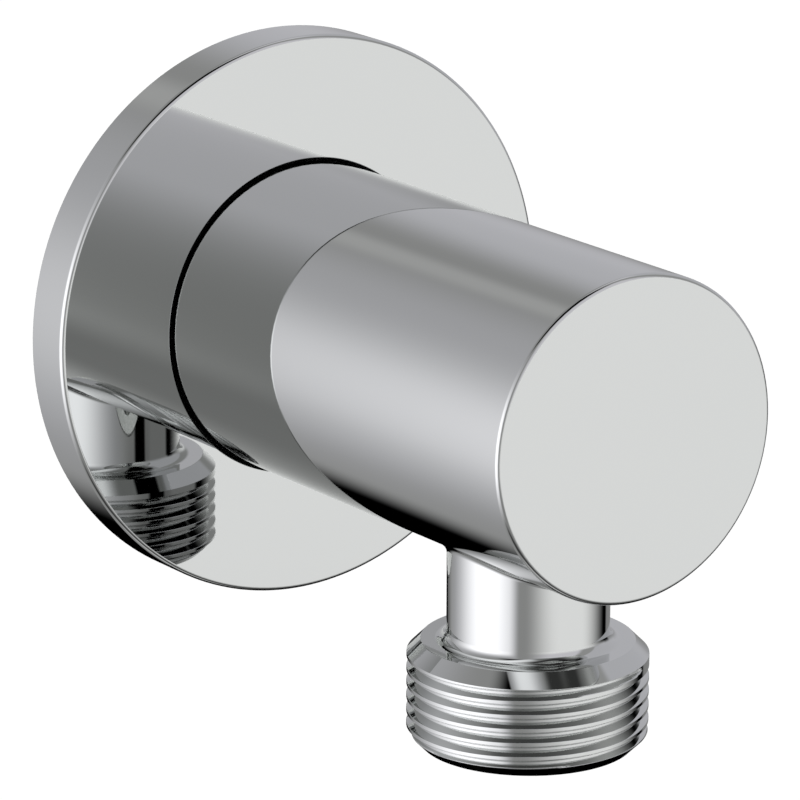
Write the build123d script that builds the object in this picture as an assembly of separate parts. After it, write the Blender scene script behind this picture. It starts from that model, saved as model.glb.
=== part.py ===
from build123d import *
import os
from math import cos, pi, radians, tan

# Wall outlet elbow for a shower hose, in millimetres. The origin is the centre of the flange's back,
# on the face of the wall. The body stands out of the wall along -Y, the outlet points down along -Z
# and +Z is up.

# Body: a round bar with a flat end
body_radius = 14.2
body_reach = 54.0
body_setback = 1.0
body_end_round = 0.3

# Outlet: neck, shoulder and threaded end, all turned round one upright axis
outlet_from_wall = 39.2
neck_radius = 7.05
neck_root_round = 0.8
neck_foot_round = 1.0
shoulder_drop = 21.2
shoulder_chamfer = 1.2
outlet_drop = 30.5
outlet_end_chamfer = 1.2
hose_thread_radius = 20.955 / 2

# Waterway through the body
inlet_bore_radius = 6.0
outlet_bore_radius = 5.0
outlet_mouth_chamfer = 0.6
drill_overrun = 0.8
drill_point_angle = 118.0
drill_point_flat = 0.6

# Flange: a turned cover plate, hollow at the back, with a hub that holds the ring
flange_radius = 25.7
flange_thickness = 4.9
flange_edge_round = 0.3
flange_bore_gap = 0.3
flange_face_wall = 1.6
flange_rim_wall = 1.8
hub_wall = 3.4
hub_setback = 0.7
flange_ring_cord = 1.9
flange_ring_squeeze = 0.4
flange_ring_setback = 2.45
ring_groove_play = 0.3

# Nipple: the threaded brass tube that carries the body and screws into the pipe in the wall
nipple_thread_radius = 20.955 / 2
nipple_wall_length = 16.0
nipple_grip_length = 10.0
nipple_relief_radius = 9.2
nipple_relief_length = 1.6
nipple_end_chamfer = 1.2
nose_radius = 9.0
nose_length = 4.5
nose_chamfer = 0.4
key_across_flats = 11.0
nose_ring_cord = 1.5
nose_ring_squeeze = 0.3

# Clearances between mating pieces
thread_clearance = 0.05
nose_clearance = 0.1
socket_end_gap = 0.6
socket_mouth_chamfer = 0.8

# How far a cut runs on past the face that it leaves
cut_margin = 0.2


def outward(shape):
    """Turns a shape made along +Z so that it runs out of the wall, along -Y."""
    return Rot(90, 0, 0) * shape


def turned(outline):
    """Spins an outline of (radius, height) points round the Z axis."""
    return revolve(Plane.XZ * make_face(Polyline(*outline, close=True)), Axis.Z)


def bar(radius, start, end):
    """A plain bar along +Z from one height to another."""
    return Pos(0, 0, start) * Cylinder(radius, end - start, align=(Align.CENTER, Align.CENTER, Align.MIN))


def circle_edge(solid, radius, height):
    """The round edge of a turned solid with this radius at this height."""
    rounds = solid.edges().filter_by(GeomType.CIRCLE)
    return rounds.filter_by(lambda e: abs(e.radius - radius) < 1e-4 and abs(e.center().Z - height) < 1e-4)


def squeezed_ring(inner_radius, outer_radius, cord, height):
    """A rubber ring with a round cord, pressed flat where it meets the wall inside and outside it."""
    middle = (inner_radius + outer_radius) / 2
    section = Pos(middle, height) * Circle(cord / 2)
    band = Pos(middle, height) * Rectangle(outer_radius - inner_radius, 2 * cord)
    return revolve(Plane.XZ * (section & band), Axis.Z)


def outlet():
    """Neck, shoulder and threaded end, from inside the body down to where the hose's washer seats.
    The threaded end is plain, at the radius over the thread's crests."""
    crest = hose_thread_radius
    stem = turned([
        (0, 0),
        (neck_radius, 0),
        (neck_radius, -shoulder_drop),
        (crest - shoulder_chamfer, -shoulder_drop),
        (crest, -shoulder_drop - shoulder_chamfer),
        (crest, -outlet_drop + outlet_end_chamfer),
        (crest - outlet_end_chamfer, -outlet_drop),
        (0, -outlet_drop),
    ])
    stem = fillet(circle_edge(stem, neck_radius, -shoulder_drop), neck_foot_round)
    return Pos(0, -outlet_from_wall, 0) * stem


def nipple_grip_end():
    """How far from the wall the nipple's thread ends inside the body."""
    return body_setback + nipple_grip_length


def nose_end():
    """How far from the wall the nipple's plain nose ends inside the body."""
    return nipple_grip_end() + nose_length


def waterway():
    """Everything that is bored out of the body: the socket, the seal bore and the crossed drillings."""
    seal_radius = nose_radius + nose_clearance
    socket_radius = nipple_thread_radius + thread_clearance
    seal_end = nose_end() + socket_end_gap
    drill_end = outlet_from_wall + outlet_bore_radius + drill_overrun
    drill_tip = drill_end + (inlet_bore_radius - drill_point_flat) / tan(radians(drill_point_angle / 2))
    along_body = turned([
        (0, 0),
        (socket_radius + socket_mouth_chamfer, 0),
        (socket_radius + socket_mouth_chamfer, body_setback),
        (socket_radius, body_setback + socket_mouth_chamfer),
        (socket_radius, nipple_grip_end() + socket_end_gap),
        (seal_radius, nipple_grip_end() + socket_end_gap),
        (seal_radius, seal_end),
        (inlet_bore_radius, seal_end),
        (inlet_bore_radius, drill_end),
        (drill_point_flat, drill_tip),
        (0, drill_tip),
    ])
    mouth_radius = outlet_bore_radius + outlet_mouth_chamfer
    down = turned([
        (0, 0),
        (outlet_bore_radius, 0),
        (outlet_bore_radius, -outlet_drop + outlet_mouth_chamfer),
        (mouth_radius, -outlet_drop),
        (mouth_radius, -outlet_drop - cut_margin),
        (0, -outlet_drop - cut_margin),
    ])
    return outward(along_body) + Pos(0, -outlet_from_wall, 0) * down


def elbow_body():
    """The body and outlet as one casting, rounded where the neck leaves the barrel, and drilled."""
    barrel = bar(body_radius, body_setback, body_reach)
    barrel = outward(fillet(circle_edge(barrel, body_radius, body_reach), body_end_round))
    body = barrel + outlet()
    neck_root = body.edges().filter_by(lambda e: e.geom_type not in (GeomType.CIRCLE, GeomType.LINE))
    return fillet(neck_root, neck_root_round) - waterway()


def wall_flange():
    """A plate with a rim and a hub, open at the back, and a groove in the hub for its ring."""
    bore = body_radius + flange_bore_gap
    groove = body_radius + flange_ring_cord - flange_ring_squeeze
    half_groove = flange_ring_cord / 2 + ring_groove_play / 2
    hub = bore + hub_wall
    rim = flange_radius - flange_rim_wall
    back_of_face = flange_thickness - flange_face_wall
    plate = turned([
        (bore, hub_setback),
        (hub, hub_setback),
        (hub, back_of_face),
        (rim, back_of_face),
        (rim, 0),
        (flange_radius, 0),
        (flange_radius, flange_thickness),
        (bore, flange_thickness),
        (bore, flange_ring_setback + half_groove),
        (groove, flange_ring_setback + half_groove),
        (groove, flange_ring_setback - half_groove),
        (bore, flange_ring_setback - half_groove),
    ])
    plate = fillet(circle_edge(plate, flange_radius, flange_thickness), flange_edge_round)
    return outward(plate)


def flange_o_ring():
    """The ring between the flange's hub and the body, which holds the flange by friction."""
    outer = body_radius + flange_ring_cord - flange_ring_squeeze
    return outward(squeezed_ring(body_radius, outer, flange_ring_cord, flange_ring_setback))


def nose_groove_radius():
    """The floor of the groove in the nipple's nose, set by the ring's squeeze in the body's bore."""
    return nose_radius + nose_clearance - nose_ring_cord + nose_ring_squeeze


def inlet_nipple():
    """A double nipple with a relief between its threads, a plain nose and a hexagon right through it.
    Both threaded lengths are plain, at the radius over the thread's crests."""
    crest = nipple_thread_radius
    groove_middle = nose_end() - nose_length / 2
    half_groove = nose_ring_cord / 2 + ring_groove_play / 2
    tube = turned([
        (0, -nipple_wall_length),
        (crest - nipple_end_chamfer, -nipple_wall_length),
        (crest, -nipple_wall_length + nipple_end_chamfer),
        (crest, 0),
        (nipple_relief_radius, 0),
        (nipple_relief_radius, nipple_relief_length),
        (crest, nipple_relief_length),
        (crest, nipple_grip_end()),
        (nose_radius, nipple_grip_end()),
        (nose_radius, groove_middle - half_groove),
        (nose_groove_radius(), groove_middle - half_groove),
        (nose_groove_radius(), groove_middle + half_groove),
        (nose_radius, groove_middle + half_groove),
        (nose_radius, nose_end() - nose_chamfer),
        (nose_radius - nose_chamfer, nose_end()),
        (0, nose_end()),
    ])
    key_corner_radius = key_across_flats / 2 / cos(pi / 6)
    whole_length = nipple_wall_length + nose_end()
    key_way = Pos(0, 0, -nipple_wall_length) * extrude(RegularPolygon(key_corner_radius, 6), whole_length)
    return outward(tube - key_way)


def nipple_o_ring():
    """The ring that seals the nipple's nose in the body."""
    middle = nose_end() - nose_length / 2
    outer = nose_radius + nose_clearance
    return outward(squeezed_ring(nose_groove_radius(), outer, nose_ring_cord, middle))


pieces = {
    "elbow_body": elbow_body,
    "wall_flange": wall_flange,
    "flange_o_ring": flange_o_ring,
    "inlet_nipple": inlet_nipple,
    "nipple_o_ring": nipple_o_ring,
}

os.makedirs("parts", exist_ok=True)
for name, make in pieces.items():
    export_step(make(), f"parts/{name}.step")
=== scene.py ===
import bpy
import numpy as np
from mathutils import Matrix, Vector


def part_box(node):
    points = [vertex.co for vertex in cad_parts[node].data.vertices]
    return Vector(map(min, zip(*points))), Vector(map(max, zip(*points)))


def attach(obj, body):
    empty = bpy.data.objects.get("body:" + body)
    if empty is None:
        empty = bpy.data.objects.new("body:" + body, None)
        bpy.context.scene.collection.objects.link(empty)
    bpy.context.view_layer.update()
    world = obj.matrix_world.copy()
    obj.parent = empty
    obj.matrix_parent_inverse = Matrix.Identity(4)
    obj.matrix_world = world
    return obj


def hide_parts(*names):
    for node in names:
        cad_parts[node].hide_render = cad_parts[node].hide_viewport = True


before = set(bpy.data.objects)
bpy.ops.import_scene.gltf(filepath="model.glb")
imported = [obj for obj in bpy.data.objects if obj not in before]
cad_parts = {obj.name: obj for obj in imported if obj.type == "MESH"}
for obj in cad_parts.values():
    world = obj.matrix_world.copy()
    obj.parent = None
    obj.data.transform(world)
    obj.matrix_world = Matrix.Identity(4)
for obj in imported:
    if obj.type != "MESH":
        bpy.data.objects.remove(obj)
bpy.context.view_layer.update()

# Elbow body: one chrome-plated brass casting. The barrel and the outlet are turned, the waterway is
# drilled along the barrel and down through the outlet, and the hose's thread is cut round its end.
mm = 0.001
body_low, body_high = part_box("elbow_body")
body_radius = 14.2 * mm
body_front = -body_low.y
body_back = -body_high.y
body_end_round = 0.42 * mm
edge_break = 0.07 * mm

outlet_from_wall = 39.2 * mm
outlet_end = body_low.z
neck_radius = 7.05 * mm
neck_root_round = 0.8 * mm
neck_foot_round = 1.0 * mm
shoulder = -21.2 * mm
shoulder_chamfer = 1.2 * mm
chamfer_foot = shoulder - shoulder_chamfer
end_chamfer = 1.2 * mm
mouth_chamfer = 0.6 * mm
outlet_bore = 5.0 * mm

hose_crest = 20.955 / 2 * mm
hose_pitch = 1.25 * mm
hose_depth = 0.72 * mm
hose_crest_flat = 0.30 * mm
hose_start_height = -22.7 * mm
hose_start_angle = np.radians(-57)
hose_run_in = np.radians(25)
flank_angle = np.radians(27.5)

inlet_bore = 6.0 * mm
drill_end = 45.0 * mm
drill_tip = 48.25 * mm
drill_tip_flat = 0.6 * mm
seal_bore = 9.1 * mm
seal_end = 16.1 * mm
socket_bore = 10.53 * mm
socket_end = 11.6 * mm
socket_mouth_chamfer = 0.8 * mm

columns = 192
side_columns = 40
front_strip = 1.5 * mm
mouth_strip = 4 * mm
full_turn = np.linspace(0, 2 * np.pi, columns + 1)

# Each axis is an origin, the direction of height along it, and the directions of angles 0 and 90.
wall_axis = np.array([(0, 0, 0), (0, -1, 0), (0, 0, -1), (1, 0, 0)], float)
outlet_axis = np.array([(0, -outlet_from_wall, 0), (0, 0, 1), (1, 0, 0), (0, 1, 0)], float)


def outline(corners, steps=6):
    """Straight runs between (radius, height, rounding) corners, with an arc that touches both runs
    at each rounded corner. The corners go anticlockwise round the material, so a run's normal is its
    direction turned a quarter clockwise. Returns points and normals for each run and arc."""
    spot = np.array([c[:2] for c in corners], float)
    rounding = np.array([c[2] if len(c) > 2 else 0.0 for c in corners])
    run = np.diff(spot, axis=0)
    run /= np.linalg.norm(run, axis=1)[:, None]
    normal = np.stack([run[:, 1], -run[:, 0]], 1)
    ahead = np.sum(run[:-1] * run[1:], 1)
    aside = run[:-1, 0] * run[1:, 1] - run[:-1, 1] * run[1:, 0]
    turn = np.concatenate([[0], np.arctan2(aside, ahead), [0]])
    cut = rounding * np.tan(np.abs(turn) / 2)
    pieces = []
    for i in range(len(run)):
        if i and rounding[i]:
            side = np.sign(turn[i])
            swing = np.linspace(0, turn[i], steps + 1)[:, None]
            facing = np.cos(swing) * normal[i - 1] + np.sin(swing) * run[i - 1]
            touch = spot[i] - cut[i] * run[i - 1]
            centre = touch - side * rounding[i] * normal[i - 1]
            pieces.append((centre + side * rounding[i] * facing, facing))
        ends = np.array([spot[i] + cut[i] * run[i], spot[i + 1] - cut[i + 1] * run[i]])
        pieces.append((ends, np.array([normal[i], normal[i]])))
    return pieces


def turned(pieces, axis, angles=full_turn):
    """Each outline spun round an axis: the point is the axis's origin, plus the height along it, plus
    the radius out at the angle. The normal is the outline's normal carried the same way."""
    origin, along, side_a, side_b = axis
    out = np.cos(angles)[:, None] * side_a + np.sin(angles)[:, None] * side_b
    grids = []
    for spots, normals in pieces:
        radius, height = spots[:, 0, None, None], spots[:, 1, None, None]
        across, up = normals[:, 0, None, None], normals[:, 1, None, None]
        grids.append((origin + height * along + radius * out, up * along + across * out))
    return grids


def ruled(first, last, normal):
    """Straight lines from each point of one row to the same point of another, with given normals."""
    grid = np.stack([first, last])
    return grid, np.broadcast_to(normal, grid.shape)


def drilled_side(radius, start, end, hole, blend, half_arc, half_length, facing):
    """The side of a bar round the wall's axis, with a hole for the outlet. The side is unrolled:
    rays at even angles run from the hole's rim to a rectangle of half_arc by half_length round it,
    and the grid lines outside the rectangle go through the ends of the rays. The rim is where a ball
    of the blend's radius touches the bar as it rolls round the outlet. Returns the grids, and the
    angles of the grid lines that run along the bar."""
    rim_x = (hole + blend) * np.cos(full_turn) * radius / (radius + blend)
    rim = np.stack([radius * np.arcsin(rim_x / radius), (hole + blend) * np.sin(full_turn)], -1)
    ray = np.stack([np.cos(full_turn), np.sin(full_turn)], -1)
    edge = ray / np.abs(ray).max(1, keepdims=True) * (half_arc, half_length)
    hole_rows, front_rows, back_rows = 13, 5, 9
    share = np.linspace(0, 1, hole_rows)[:, None, None]
    round_hole = (1 - share) * rim + share * edge

    fan = np.tan(np.linspace(-np.pi / 4, np.pi / 4, columns // 4 + 1))
    left = np.linspace(-np.pi * radius, -half_arc, side_columns)
    arcs = [left, fan * half_arc, -left[::-1]]
    front = -end + outlet_from_wall
    back = -start + outlet_from_wall
    before = np.linspace(front, -half_length, front_rows)
    beside = fan * half_length
    behind = np.linspace(half_length, back, back_rows)
    all_arcs = np.concatenate([arcs[0][:-1], arcs[1], arcs[2][1:]])
    sheets = [round_hole]
    for across, along in [(all_arcs, before), (arcs[0], beside), (arcs[2], beside), (all_arcs, behind)]:
        sheets.append(np.stack(np.meshgrid(across, along), -1))

    grids = []
    for sheet in sheets:
        angle = sheet[..., 0] / radius
        out = np.stack([np.sin(angle), np.zeros_like(angle), -np.cos(angle)], -1)
        place = radius * out
        place[..., 1] = sheet[..., 1] - outlet_from_wall
        grids.append((place, out * facing))
    return grids, all_arcs / radius


def neck_blend(radius, hole, blend):
    """The fillet between the barrel and the neck. The centre of a ball of the blend's radius keeps
    one blend away from both, and each row lies on the ball, between the directions in which it
    touches the barrel and the neck. Returns the grid and the row that touches the neck."""
    centre = np.stack([
        (hole + blend) * np.cos(full_turn),
        (hole + blend) * np.sin(full_turn),
        -np.sqrt((radius + blend) ** 2 - ((hole + blend) * np.cos(full_turn)) ** 2),
    ], -1)
    to_barrel = -centre * (1, 0, 1) / (radius + blend)
    to_neck = -np.stack([np.cos(full_turn), np.sin(full_turn), np.zeros_like(full_turn)], -1)
    swing = np.arccos(np.sum(to_barrel * to_neck, -1))[:, None]
    rows = 9
    share = np.linspace(0, 1, rows)[:, None, None]
    touch = (np.sin((1 - share) * swing) * to_barrel + np.sin(share * swing) * to_neck) / np.sin(swing)
    place = centre + blend * touch + outlet_axis[0]
    return (place, -touch), place[-1]


def thread_grid(axis, radius_at, rows, lead, low, high, angles):
    """A turned thread as one strip that winds along its axis. Its middle climbs by the lead (height
    at angle 0, height for each turn), its rows stand a fixed way above or below that middle, and
    heights past the ends are moved to them. The radius is a function of angle and height, and the
    normal leans against its slopes along the axis and round it."""
    origin, along, side_a, side_b = axis
    angle, row = np.meshgrid(angles, rows)
    height = np.clip(lead[0] + lead[1] * angle / (2 * np.pi) + row, low, high)
    radius = radius_at(angle, height)
    step = 0.004 * mm
    rise = (radius_at(angle, height + step) - radius_at(angle, height - step)) / (2 * step)
    swing = step / radius
    drift = (radius_at(angle + swing, height) - radius_at(angle - swing, height)) / (2 * step)
    out = np.cos(angle)[..., None] * side_a + np.sin(angle)[..., None] * side_b
    round_it = -np.sin(angle)[..., None] * side_a + np.cos(angle)[..., None] * side_b
    normal = out - rise[..., None] * along - drift[..., None] * round_it
    normal /= np.linalg.norm(normal, axis=-1, keepdims=True)
    return origin + height[..., None] * along + radius[..., None] * out, normal


def groove_depth(offset, pitch, depth, crest_flat):
    """Depth of a 55 degree thread groove at an offset along the axis from its middle: full over the
    flat root, falling in a straight line over each flank, and nothing over the crest."""
    offset = np.abs(offset - pitch * np.round(offset / pitch))
    mouth = (pitch - crest_flat) / 2
    return np.clip((mouth - offset) / np.tan(flank_angle), 0, depth)


def thread_rows(pitch, depth, crest_flat):
    """Heights across one turn, with a close pair of rows on each side of every corner."""
    mouth = (pitch - crest_flat) / 2
    root = mouth - depth * np.tan(flank_angle)
    bevel = min(0.02 * mm, 0.3 * root)
    flank_rows, crest_rows = 5, 3
    flank = np.linspace(root + bevel, mouth - bevel, flank_rows)
    crest = np.linspace(mouth + bevel, pitch / 2, crest_rows)
    half = np.concatenate([[0, root - bevel], flank, crest])
    return np.concatenate([-half[:0:-1], half])


def hose_radius(angle, height):
    """Radius of the hose thread. The groove's first part is cut less deep, as the tool runs in, and
    the chamfer at the outlet's end takes off what stands out past it."""
    past_start = hose_start_angle - angle
    middle = hose_start_height - hose_pitch * past_start / (2 * np.pi)
    mouth = (hose_pitch - hose_crest_flat) / 2
    room = (chamfer_foot - middle) - (mouth - hose_depth * np.tan(flank_angle))
    reach = np.clip(past_start / hose_run_in, 0, 1)
    depth_here = np.minimum(hose_depth * np.sqrt(reach), np.clip(room / np.tan(flank_angle), 0, hose_depth))
    cut = groove_depth(height - middle, hose_pitch, hose_depth, hose_crest_flat) - (hose_depth - depth_here)
    cone = hose_crest - end_chamfer + (height - outlet_end)
    return np.minimum(hose_crest - np.maximum(cut, 0), cone)


def make_piece(name, grids, material, node):
    """Joins grids of (points, normals) into one closed mesh that stands for a CAD node. Neighbouring
    grid points make a face, points in one place become one vertex, faces are turned to agree with
    their normals, and each face corner keeps the normal of its own grid, so that creases stay sharp.
    Places are compared in small cells, shifted so that no round size lies on a cell's edge."""
    place, facing, quads, first = [], [], [], 0
    for spots, normals in grids:
        rows, cols = spots.shape[:2]
        index = first + np.arange(rows * cols).reshape(rows, cols)
        corner_index = [index[:-1, :-1], index[:-1, 1:], index[1:, 1:], index[1:, :-1]]
        quads.append(np.stack(corner_index, -1).reshape(-1, 4))
        place.append(spots.reshape(-1, 3))
        facing.append(normals.reshape(-1, 3))
        first += rows * cols
    place, facing, quads = np.concatenate(place), np.concatenate(facing), np.concatenate(quads)

    weld = 1e-7
    off_grid = 0.1234567
    key = np.floor(place / weld + off_grid).astype(np.int64)
    _, keep, vertex = np.unique(key, axis=0, return_index=True, return_inverse=True)
    vertex = vertex.reshape(-1)
    diagonal_a = place[quads[:, 2]] - place[quads[:, 0]]
    diagonal_b = place[quads[:, 3]] - place[quads[:, 1]]
    backwards = np.sum(np.cross(diagonal_a, diagonal_b) * facing[quads].sum(1), 1) < 0
    quads[backwards] = quads[backwards][:, ::-1]

    welded = vertex[quads]
    repeats = welded == np.roll(welded, -1, axis=1)
    whole = ~repeats.any(1)
    folded = repeats.sum(1) == 1
    drop = np.argmax(repeats[folded], 1)
    corner = (drop[:, None] + 1 + np.arange(3)) % 4
    triangles = np.take_along_axis(quads[folded], corner, 1)
    corners = np.concatenate([quads[whole].ravel(), triangles.ravel()])
    sizes = np.concatenate([np.full(whole.sum(), 4), np.full(len(triangles), 3)])

    mesh = bpy.data.meshes.new(name)
    mesh.vertices.add(len(keep))
    mesh.vertices.foreach_set("co", place[keep].astype(np.float32).ravel())
    mesh.loops.add(len(corners))
    mesh.loops.foreach_set("vertex_index", vertex[corners].astype(np.int32))
    mesh.polygons.add(len(sizes))
    mesh.polygons.foreach_set("loop_start", np.concatenate([[0], np.cumsum(sizes)[:-1]]).astype(np.int32))
    mesh.update(calc_edges=True)
    mesh.validate()
    mesh.polygons.foreach_set("use_smooth", np.ones(len(mesh.polygons), bool))
    mesh.normals_split_custom_set(facing[corners])
    mesh.materials.append(material)
    piece = bpy.data.objects.new(name, mesh)
    bpy.context.scene.collection.objects.link(piece)
    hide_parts(node)
    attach(piece, "root")
    return piece


def buffed_metal():
    """A node group for polished metal: slow clouds, left by the buffing wheel, which go from one tone
    to another and from one roughness to another."""
    group = bpy.data.node_groups.new("buffed_metal", "ShaderNodeTree")
    face = group.interface
    face.new_socket("Vector", in_out="INPUT", socket_type="NodeSocketVector")
    for label in ("Tone", "Other Tone"):
        face.new_socket(label, in_out="INPUT", socket_type="NodeSocketColor")
    for label in ("Cloud Scale", "Least Roughness", "Most Roughness"):
        face.new_socket(label, in_out="INPUT", socket_type="NodeSocketFloat")
    face.new_socket("Color", in_out="OUTPUT", socket_type="NodeSocketColor")
    face.new_socket("Roughness", in_out="OUTPUT", socket_type="NodeSocketFloat")
    nodes, wires = group.nodes, group.links
    inside = nodes.new("NodeGroupInput")
    outside = nodes.new("NodeGroupOutput")
    clouds = nodes.new("ShaderNodeTexNoise")
    clouds.inputs["Detail"].default_value = 3
    tone = nodes.new("ShaderNodeMix")
    tone.data_type = "RGBA"
    rough = nodes.new("ShaderNodeMapRange")
    wires.new(inside.outputs["Vector"], clouds.inputs["Vector"])
    wires.new(inside.outputs["Cloud Scale"], clouds.inputs["Scale"])
    wires.new(clouds.outputs["Fac"], tone.inputs["Factor"])
    wires.new(inside.outputs["Tone"], tone.inputs["A"])
    wires.new(inside.outputs["Other Tone"], tone.inputs["B"])
    wires.new(clouds.outputs["Fac"], rough.inputs["Value"])
    wires.new(inside.outputs["Least Roughness"], rough.inputs["To Min"])
    wires.new(inside.outputs["Most Roughness"], rough.inputs["To Max"])
    wires.new(tone.outputs["Result"], outside.inputs["Color"])
    wires.new(rough.outputs["Result"], outside.inputs["Roughness"])
    return group


buffing = buffed_metal()


def metal(name, tone, other_tone, cloud_scale, least_rough, most_rough):
    """A metal whose colour and roughness come from the buffing group, read in object coordinates."""
    material = bpy.data.materials.new(name)
    material.use_nodes = True
    nodes, wires = material.node_tree.nodes, material.node_tree.links
    shader = nodes["Principled BSDF"]
    shader.inputs["Metallic"].default_value = 1.0
    spot = nodes.new("ShaderNodeTexCoord")
    polish = nodes.new("ShaderNodeGroup")
    polish.node_tree = buffing
    polish.inputs["Tone"].default_value = (*tone, 1)
    polish.inputs["Other Tone"].default_value = (*other_tone, 1)
    polish.inputs["Cloud Scale"].default_value = cloud_scale
    polish.inputs["Least Roughness"].default_value = least_rough
    polish.inputs["Most Roughness"].default_value = most_rough
    wires.new(spot.outputs["Object"], polish.inputs["Vector"])
    wires.new(polish.outputs["Color"], shader.inputs["Base Color"])
    wires.new(polish.outputs["Roughness"], shader.inputs["Roughness"])
    return material


chrome = metal("polished_chrome", (0.644, 0.656, 0.648), (0.649, 0.660, 0.653), 60, 0.0, 0.03)

barrel_grids, barrel_angles = drilled_side(
    body_radius, body_back, body_front - front_strip, neck_radius, neck_root_round,
    half_arc=10 * mm, half_length=10 * mm, facing=1)
drill_grids, drill_angles = drilled_side(
    inlet_bore, seal_end, drill_end, outlet_bore, 0,
    half_arc=8 * mm, half_length=5.4 * mm, facing=-1)
front_face = outline([
    (body_radius, body_front - front_strip),
    (body_radius, body_front, body_end_round),
    (0, body_front),
])
drill_point = outline([(0, drill_tip), (drill_tip_flat, drill_tip), (inlet_bore, drill_end)])
socket = outline([
    (inlet_bore, seal_end),
    (seal_bore, seal_end),
    (seal_bore, socket_end),
    (socket_bore, socket_end),
    (socket_bore, body_back + socket_mouth_chamfer),
    (socket_bore + socket_mouth_chamfer, body_back),
])
blend_grid, neck_top = neck_blend(body_radius, neck_radius, neck_root_round)
outer_foot = outline([
    (hose_crest, chamfer_foot),
    (hose_crest - shoulder_chamfer, shoulder, edge_break),
    (neck_radius, shoulder, neck_foot_round),
    (neck_radius, shoulder + 2 * neck_foot_round),
])
bore_foot = outline([
    (outlet_bore, outlet_end + mouth_strip),
    (outlet_bore, outlet_end + mouth_chamfer, edge_break),
    (outlet_bore + mouth_chamfer, outlet_end, edge_break),
    (hose_crest - end_chamfer, outlet_end),
])
radial = np.stack([np.cos(full_turn), np.sin(full_turn), np.zeros_like(full_turn)], -1)
outer_foot_grids = turned(outer_foot, outlet_axis)
bore_foot_grids = turned(bore_foot, outlet_axis)
bore_top = outlet_axis[0] + outlet_bore * radial
bore_top[:, 2] = -np.sqrt(inlet_bore ** 2 - (outlet_bore * np.cos(full_turn)) ** 2)
front_grids = turned(front_face, wall_axis, barrel_angles)
socket_grids = turned(socket, wall_axis, drill_angles)
back_edge = wall_axis[0] + body_back * wall_axis[1] + body_radius * (
    np.cos(barrel_angles)[:, None] * wall_axis[2] + np.sin(barrel_angles)[:, None] * wall_axis[3])
turns_below, turns_above = 8, 1
thread_angles = np.arange(-turns_below * columns, turns_above * columns + 1) * 2 * np.pi / columns
hose_thread = thread_grid(
    outlet_axis, hose_radius, thread_rows(hose_pitch, hose_depth, hose_crest_flat),
    (hose_start_height - hose_pitch * hose_start_angle / (2 * np.pi), hose_pitch),
    outlet_end, chamfer_foot, thread_angles)
body_grids = [
    *barrel_grids,
    *front_grids,
    *drill_grids,
    *turned(drill_point, wall_axis, drill_angles),
    *socket_grids,
    ruled(back_edge, socket_grids[-1][0][-1], (0, 1, 0)),
    blend_grid,
    ruled(neck_top, outer_foot_grids[-1][0][-1], radial),
    *outer_foot_grids,
    hose_thread,
    *bore_foot_grids,
    ruled(bore_top, bore_foot_grids[0][0][0], -radial),
]
make_piece("elbow_body_visual", body_grids, chrome, "elbow_body")

# Wall flange: a turned and chrome-plated cover plate that slides along the barrel to the wall. It is
# hollow at the back, and a ring in its hub grips the barrel.
flange_radius = 25.7 * mm
flange_thickness = 4.9 * mm
flange_edge_round = 0.42 * mm
flange_bore_gap = 0.3 * mm
flange_bore = body_radius + flange_bore_gap
flange_face_wall = 1.6 * mm
flange_rim_wall = 1.8 * mm
flange_back = flange_thickness - flange_face_wall
flange_inside = flange_radius - flange_rim_wall
inner_round = 0.4 * mm
hub_wall = 3.4 * mm
hub_radius = flange_bore + hub_wall
hub_setback = 0.7 * mm
flange_ring_height = 2.45 * mm
flange_ring_cord = 1.9 * mm
flange_ring_squeeze = 0.4 * mm
ring_play = 0.3 * mm
flange_groove_radius = body_radius + flange_ring_cord - flange_ring_squeeze
flange_groove_half = (flange_ring_cord + ring_play) / 2

flange_outline = outline([
    (flange_bore, hub_setback),
    (hub_radius, hub_setback, edge_break),
    (hub_radius, flange_back, inner_round),
    (flange_inside, flange_back, inner_round),
    (flange_inside, 0, edge_break),
    (flange_radius, 0, edge_break),
    (flange_radius, flange_thickness, flange_edge_round),
    (flange_bore, flange_thickness, edge_break),
    (flange_bore, flange_ring_height + flange_groove_half),
    (flange_groove_radius, flange_ring_height + flange_groove_half),
    (flange_groove_radius, flange_ring_height - flange_groove_half),
    (flange_bore, flange_ring_height - flange_groove_half),
    (flange_bore, hub_setback),
])
make_piece("wall_flange_visual", turned(flange_outline, wall_axis), chrome, "wall_flange")

# Flange ring: a black rubber ring in the groove of the flange's hub, squeezed flat against the
# barrel and the groove's floor. It shows as the dark line round the barrel.


def rubber(name):
    """Black moulded rubber: a fine grain in its colour, its roughness and its surface."""
    material = bpy.data.materials.new(name)
    material.use_nodes = True
    nodes, wires = material.node_tree.nodes, material.node_tree.links
    shader = nodes["Principled BSDF"]
    spot = nodes.new("ShaderNodeTexCoord")
    grain = nodes.new("ShaderNodeTexNoise")
    grain.inputs["Scale"].default_value = 4000
    tone = nodes.new("ShaderNodeMix")
    tone.data_type = "RGBA"
    tone.inputs["A"].default_value = (0.008, 0.008, 0.008, 1)
    tone.inputs["B"].default_value = (0.02, 0.02, 0.021, 1)
    rough = nodes.new("ShaderNodeMapRange")
    rough.inputs["To Min"].default_value = 0.42
    rough.inputs["To Max"].default_value = 0.6
    bump = nodes.new("ShaderNodeBump")
    bump.inputs["Strength"].default_value = 0.25
    bump.inputs["Distance"].default_value = 0.01 * mm
    wires.new(spot.outputs["Object"], grain.inputs["Vector"])
    wires.new(grain.outputs["Fac"], tone.inputs["Factor"])
    wires.new(grain.outputs["Fac"], rough.inputs["Value"])
    wires.new(grain.outputs["Fac"], bump.inputs["Height"])
    wires.new(tone.outputs["Result"], shader.inputs["Base Color"])
    wires.new(rough.outputs["Result"], shader.inputs["Roughness"])
    wires.new(bump.outputs["Normal"], shader.inputs["Normal"])
    return material


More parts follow.
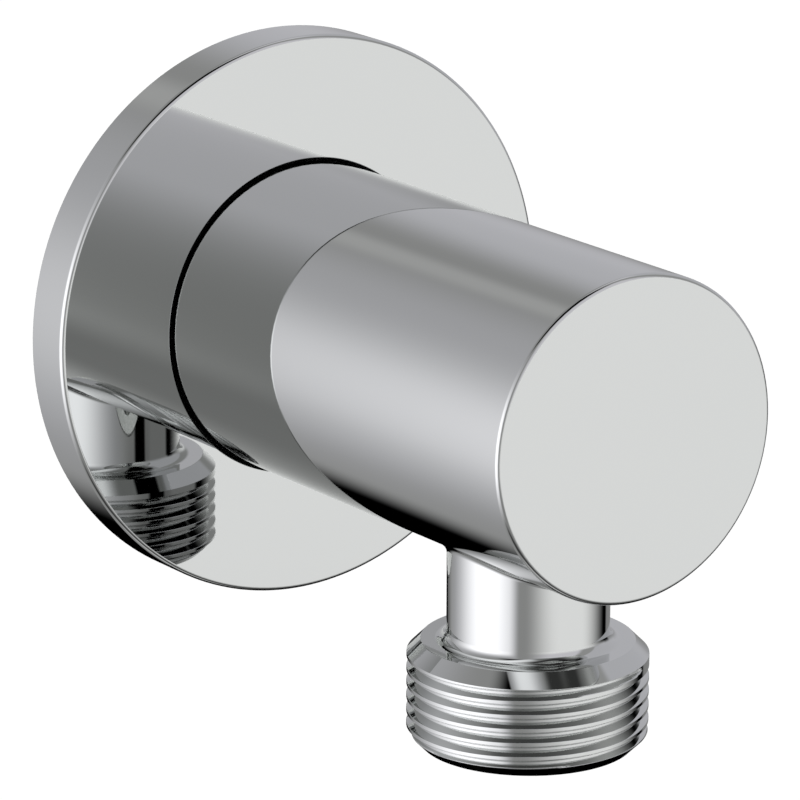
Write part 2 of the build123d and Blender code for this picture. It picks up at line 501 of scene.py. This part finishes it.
def squeezed_ring(inner, outer, cord, height):
    """The outline of a ring with a round cord, cut flat where it meets the walls inside and outside
    it: two arcs of the cord's radius joined by two straight runs."""
    middle = (inner + outer) / 2
    lean = np.arccos((outer - inner) / cord)
    arc_points = 13
    pieces = []
    for start in (lean, lean + np.pi):
        swing = np.linspace(start, start + np.pi - 2 * lean, arc_points)
        facing = np.stack([np.cos(swing), np.sin(swing)], -1)
        pieces.append((np.array([middle, height]) + cord / 2 * facing, facing))
    for arc, other, side in ((pieces[0], pieces[1], -1), (pieces[1], pieces[0], 1)):
        ends = np.array([arc[0][-1], other[0][0]])
        pieces.append((ends, np.array([(side, 0), (side, 0)], float)))
    return pieces


black_rubber = rubber("black_rubber")
flange_ring = squeezed_ring(body_radius, flange_groove_radius, flange_ring_cord, flange_ring_height)
make_piece("flange_o_ring_visual", turned(flange_ring, wall_axis), black_rubber,
           "flange_o_ring")

# Inlet nipple: a turned brass tube with a thread at each end. One end screws into the pipe in the
# wall and the other into the body, with a key in the hexagon that goes right through it.
nipple_crest = 20.955 / 2 * mm
nipple_pitch = 1.814 * mm
nipple_depth = 1.1 * mm
nipple_crest_flat = 0.36 * mm
nipple_wall_end = -16.0 * mm
nipple_end_chamfer = 1.2 * mm
relief_radius = 9.2 * mm
relief_end = 1.6 * mm
grip_end = 11.0 * mm
nose_radius = 9.0 * mm
nose_end = 15.5 * mm
nose_chamfer = 0.4 * mm
nose_ring_cord = 1.5 * mm
nose_ring_squeeze = 0.3 * mm
nose_groove_middle = (grip_end + nose_end) / 2
nose_groove_half = (nose_ring_cord + ring_play) / 2
nose_ring_floor = seal_bore - nose_ring_cord + nose_ring_squeeze
key_half_width = 5.5 * mm
nipple_columns = 144
nipple_turn = np.linspace(0, 2 * np.pi, nipple_columns + 1)


def nipple_radius(start):
    """A function for the radius of the nipple's thread whose groove is at this height on the right
    of the nipple, with the chamfer at the end in the wall."""
    def radius_at(angle, height):
        middle = start + nipple_pitch * (angle - np.pi / 2) / (2 * np.pi)
        cut = groove_depth(height - middle, nipple_pitch, nipple_depth, nipple_crest_flat)
        cone = nipple_crest - nipple_end_chamfer + (height - nipple_wall_end)
        return np.minimum(nipple_crest - cut, cone)
    return radius_at


def nipple_thread(start, low, high):
    """The strip of one of the nipple's threads between two heights."""
    first = int((low - start) / nipple_pitch) - 2
    last = int((high - start) / nipple_pitch) + 3
    angles = np.arange(first * nipple_columns, last * nipple_columns + 1) * 2 * np.pi / nipple_columns
    rows = thread_rows(nipple_pitch, nipple_depth, nipple_crest_flat)
    lead = (start - nipple_pitch / 4, nipple_pitch)
    return thread_grid(wall_axis, nipple_radius(start), rows, lead, low, high, angles)


def nipple_ring(radius, height):
    """A row of points round the nipple, at one radius or at a radius for each angle."""
    out = np.cos(nipple_turn)[:, None] * wall_axis[2] + np.sin(nipple_turn)[:, None] * wall_axis[3]
    return np.broadcast_to(radius, nipple_turn.shape)[:, None] * out + height * wall_axis[1]


# The hexagon's radius is half its width over the cosine of the angle from the nearest flat's middle.
sixth, twelfth = np.pi / 3, np.pi / 6
key_way = key_half_width / np.cos((nipple_turn + twelfth) % sixth - twelfth)
key_rims = nipple_ring(key_way, nose_end), nipple_ring(key_way, nipple_wall_end)
wall_start = nipple_wall_end - nipple_pitch
nose = outline([
    (nose_radius, grip_end),
    (nose_radius, nose_groove_middle - nose_groove_half, edge_break),
    (nose_ring_floor, nose_groove_middle - nose_groove_half),
    (nose_ring_floor, nose_groove_middle + nose_groove_half),
    (nose_radius, nose_groove_middle + nose_groove_half, edge_break),
    (nose_radius, nose_end - nose_chamfer),
    (nose_radius - nose_chamfer, nose_end),
])
relief = outline([(relief_radius, 0), (relief_radius, relief_end)])
inward, outward = (0, 1, 0), (0, -1, 0)
wall_radius, grip_radius = nipple_radius(wall_start), nipple_radius(relief_end)
thread_stops = [
    nipple_ring(wall_radius(nipple_turn, 0), 0),
    nipple_ring(grip_radius(nipple_turn, relief_end), relief_end),
    nipple_ring(grip_radius(nipple_turn, grip_end), grip_end),
]
nipple_grids = [
    nipple_thread(wall_start, nipple_wall_end, 0),
    nipple_thread(relief_end, relief_end, grip_end),
    *turned(relief, wall_axis, nipple_turn),
    *turned(nose, wall_axis, nipple_turn),
    ruled(thread_stops[0], nipple_ring(relief_radius, 0), outward),
    ruled(nipple_ring(relief_radius, relief_end), thread_stops[1], inward),
    ruled(thread_stops[2], nipple_ring(nose_radius, grip_end), outward),
    ruled(nipple_ring(nose_radius - nose_chamfer, nose_end), key_rims[0], outward),
    ruled(nipple_ring(nipple_crest - nipple_end_chamfer, nipple_wall_end), key_rims[1], inward),
]
half_flats = 12
half_columns = nipple_columns // half_flats
for half in range(half_flats):
    span = slice(half_columns * half, half_columns * (half + 1) + 1)
    flat = (half + 1) // 2 * sixth
    flat_out = np.cos(flat) * wall_axis[2] + np.sin(flat) * wall_axis[3]
    nipple_grids.append(ruled(key_rims[0][span], key_rims[1][span], -flat_out))

brass = metal("turned_brass", (0.80, 0.60, 0.29), (0.73, 0.53, 0.24), 120, 0.14, 0.3)
make_piece("inlet_nipple_visual", nipple_grids, brass, "inlet_nipple")

# Nipple ring: a black rubber ring in the groove of the nipple's nose, squeezed between the groove's
# floor and the body's bore, which it seals.
nipple_seal = squeezed_ring(nose_ring_floor, seal_bore, nose_ring_cord, nose_groove_middle)
make_piece("nipple_o_ring_visual", turned(nipple_seal, wall_axis), black_rubber,
           "nipple_o_ring")

# Studio: a white surround, a tent of soft sheets that only polished metal shows, a pale floor that
# keeps the object's shadow, and one soft lamp. In the tent, azimuth 0 looks at the wall, 90 to the
# right and -90 to the left, and elevation 90 is overhead.


def seen_rays(nodes, wires):
    """Light Path's camera, glossy and transmission rays, added up."""
    path = nodes.new("ShaderNodeLightPath")
    total = path.outputs["Is Camera Ray"]
    for label in ("Is Glossy Ray", "Is Transmission Ray"):
        add = nodes.new("ShaderNodeMath")
        add.operation = "ADD"
        add.use_clamp = True
        wires.new(total, add.inputs[0])
        wires.new(path.outputs[label], add.inputs[1])
        total = add.outputs[0]
    return total


world = bpy.data.worlds.new("white_surround")
bpy.context.scene.world = world
world.use_nodes = True
sky = world.node_tree
sky.nodes.clear()
sky_out = sky.nodes.new("ShaderNodeOutputWorld")
sky_mix = sky.nodes.new("ShaderNodeMixShader")
sky_light = sky.nodes.new("ShaderNodeBackground")
sky_light.inputs["Strength"].default_value = 0.6
sky_seen = sky.nodes.new("ShaderNodeBackground")
sky_seen.inputs["Color"].default_value = (1, 1, 1, 1)
sky.links.new(seen_rays(sky.nodes, sky.links), sky_mix.inputs["Fac"])
sky.links.new(sky_light.outputs[0], sky_mix.inputs[1])
sky.links.new(sky_seen.outputs[0], sky_mix.inputs[2])
sky.links.new(sky_mix.outputs[0], sky_out.inputs["Surface"])


def ease(share):
    """A soft step from 0 to 1."""
    share = np.clip(share, 0, 1)
    return share * share * (3 - 2 * share)


tent_middle = np.array([0, -30, -3]) * mm
tent_radius = 0.7
tent_columns, tent_rows = 241, 121
tent_azimuth, tent_elevation = np.meshgrid(
    np.linspace(-180, 180, tent_columns), np.linspace(-90, 90, tent_rows))
tent_light = np.zeros(tent_azimuth.shape + (3,))
tent_clear = np.ones(tent_azimuth.shape)


def hang(azimuth, elevation, fade, value, tint=(1, 1, 1), centre=None):
    """Hangs a sheet of one brightness in the tent, in front of those before it, between two azimuths
    and two elevations in degrees. Its edges are soft over four widths: left, right, low and high. A
    centre (azimuth, elevation, full, gone) also makes it round: whole within the angle full from
    there, and gone past the angle gone."""
    half = (azimuth[1] - azimuth[0]) / 2
    turn = (tent_azimuth - azimuth[0] - half + 180) % 360 - 180
    insides = turn + half, half - turn, tent_elevation - elevation[0], elevation[1] - tent_elevation
    cover = np.ones_like(turn)
    for inside, width in zip(insides, fade):
        cover *= ease(inside / max(width, 1e-3) + (width == 0))
    if centre:
        centre_azimuth, centre_elevation, full, gone = np.radians(centre)
        across = np.radians(tent_azimuth) - centre_azimuth
        height = np.radians(tent_elevation)
        level_part = np.cos(height) * np.cos(centre_elevation) * np.cos(across)
        upright_part = np.sin(height) * np.sin(centre_elevation)
        off = np.arccos(np.clip(level_part + upright_part, -1, 1))
        cover *= 1 - ease((off - full) / (gone - full))
    tent_light[:] = tent_light * (1 - cover[..., None]) + cover[..., None] * value * np.array(tint)
    tent_clear[:] = tent_clear * (1 - cover)


# The pale wall in front, with a grey post at its right and a duller light below it
hang((60, 250), (-8, 90), (0, 0, 20, 0), 0.74, (1.02, 1, 1.06))
hang((96, 146), (-4, 90), (14, 12, 12, 0), 0.38)
hang((60, 250), (-90, -18), (0, 0, 0, 26), 0.30)

# The grey surround at the left, behind and overhead, and its corner low at the front
hang((-180, 62), (-90, 90), (42, 4, 0, 0), 0.34)
hang((170, 235), (-90, -16), (20, 20, 0, 14), 0.30)

# A dark band under the front, and a light far below it
hang((80, 280), (-76, -40), (24, 30, 14, 14), 0.06)
hang((80, 280), (-90, -64), (24, 30, 0, 12), 0.60)

# The large light at the left, in its halo
hang((-133, 6), (-50, 62), (10, 34, 24, 30), 0.49, (1.005, 1, 1.045))
hang((-133, 20), (-56, 54), (16, 30, 42, 50), 1.78, (1.01, 1, 1.035), centre=(-84, -6, 6, 69))

# Behind at the right, a grey ledge with a window over it, and a narrow strip above the wall's middle
hang((28, 92), (-34, 16), (4, 6, 8, 20), 0.26)
hang((11, 117), (-16, 62), (20, 6, 30, 10), 0.57, (1.005, 1, 1.06))
hang((-9, 9), (24, 58), (8, 8, 10, 16), 0.46)

# Black cloth over the front, low behind, low behind at the right, and at the right
hang((130, 279), (44, 90), (22, 32, 12, 0), 0)
hang((-9, 44), (-90, -16), (20, 10, 0, 6), 0)
hang((11, 33), (-30, -4), (4, 3, 8, 8), 0)
hang((30, 80), (-90, -22), (6, 6, 0, 8), 0)
hang((73, 138), (-90, 8), (6, 54, 0, 18), 0)

tent_out = np.stack([
    np.sin(np.radians(tent_azimuth)) * np.cos(np.radians(tent_elevation)),
    np.cos(np.radians(tent_azimuth)) * np.cos(np.radians(tent_elevation)),
    np.sin(np.radians(tent_elevation)),
], -1)
tent_index = np.arange(tent_azimuth.size).reshape(tent_azimuth.shape)
tent_faces = np.stack([
    tent_index[:-1, :-1], tent_index[:-1, 1:], tent_index[1:, 1:], tent_index[1:, :-1]], -1).reshape(-1, 4)
tent_mesh = bpy.data.meshes.new("soft_tent")
tent_places = (tent_middle + tent_radius * tent_out).reshape(-1, 3)
tent_mesh.from_pydata(tent_places.tolist(), [], tent_faces.tolist())
tent_colours = np.concatenate([tent_light, tent_clear[..., None]], -1)
seen = tent_mesh.attributes.new("seen", "FLOAT_COLOR", "POINT")
seen.data.foreach_set("color", tent_colours.astype(np.float32).ravel())
tent_paint = bpy.data.materials.new("soft_tent")
tent_paint.use_nodes = True
nodes, wires = tent_paint.node_tree.nodes, tent_paint.node_tree.links
nodes.clear()
tent_seen = nodes.new("ShaderNodeAttribute")
tent_seen.attribute_name = "seen"
tent_glow = nodes.new("ShaderNodeEmission")
tent_open = nodes.new("ShaderNodeBsdfTransparent")
tent_sum = nodes.new("ShaderNodeAddShader")
tent_end = nodes.new("ShaderNodeOutputMaterial")
wires.new(tent_seen.outputs["Color"], tent_glow.inputs["Color"])
wires.new(tent_seen.outputs["Alpha"], tent_open.inputs["Color"])
wires.new(tent_glow.outputs[0], tent_sum.inputs[0])
wires.new(tent_open.outputs[0], tent_sum.inputs[1])
wires.new(tent_sum.outputs[0], tent_end.inputs["Surface"])
tent_mesh.materials.append(tent_paint)
tent = bpy.data.objects.new("soft_tent", tent_mesh)
bpy.context.scene.collection.objects.link(tent)
tent.visible_camera = False
tent.visible_diffuse = False
tent.visible_shadow = False
tent.visible_transmission = False

floor_height = -0.75
floor_reach = 9
floor_lift = 0.34
floor_mesh = bpy.data.meshes.new("floor")
floor_mesh.from_pydata([
    (-floor_reach, -floor_reach, floor_height), (floor_reach, -floor_reach, floor_height),
    (floor_reach, floor_reach, floor_height), (-floor_reach, floor_reach, floor_height)], [], [(0, 1, 2, 3)])
floor = bpy.data.objects.new("floor", floor_mesh)
bpy.context.scene.collection.objects.link(floor)
floor_paint = bpy.data.materials.new("pale_floor")
floor_paint.use_nodes = True
paint = floor_paint.node_tree
shader = paint.nodes["Principled BSDF"]
shader.inputs["Base Color"].default_value = (0.85, 0.85, 0.85, 1)
shader.inputs["Roughness"].default_value = 0.9
shader.inputs["Specular IOR Level"].default_value = 0.0
shader.inputs["Emission Color"].default_value = (1, 1, 1, 1)
lift = paint.nodes.new("ShaderNodeMath")
lift.operation = "MULTIPLY"
lift.inputs[1].default_value = floor_lift
paint.links.new(seen_rays(paint.nodes, paint.links), lift.inputs[0])
paint.links.new(lift.outputs[0], shader.inputs["Emission Strength"])
floor_mesh.materials.append(floor_paint)

key_data = bpy.data.lights.new("soft_key", "SUN")
key_data.angle = np.radians(40)
key_data.energy = 1.3
key = bpy.data.objects.new("soft_key", key_data)
bpy.context.scene.collection.objects.link(key)
key.rotation_euler = (np.radians(38), 0, np.radians(-45))
key.visible_glossy = False

# Camera: fitted to the photograph's edges, in front of the fitting, to its left and a little above.
# Its lens is long, so the far side of the flange looks hardly smaller than the near side.
camera_place = np.array([-257.19, -386.82, 121.66]) * mm
camera_turn = np.array([1.7812, -0.5587, 0.4278])
camera_focal = 5278.7
picture_size = 800

camera_data = bpy.data.cameras.new("camera")
camera_data.sensor_width = 36
camera_data.lens = camera_focal / picture_size * camera_data.sensor_width
camera_data.clip_start = 0.01
camera = bpy.data.objects.new("camera", camera_data)
bpy.context.scene.collection.objects.link(camera)
swing = np.linalg.norm(camera_turn)
to_camera = np.array(Matrix.Rotation(swing, 3, camera_turn / swing))
pose = np.eye(4)
pose[:3, 0], pose[:3, 1], pose[:3, 2] = to_camera[0], -to_camera[1], -to_camera[2]
pose[:3, 3] = camera_place
camera.matrix_world = Matrix(pose.tolist())
bpy.context.scene.camera = camera
bpy.context.scene.view_settings.view_transform = "Standard"
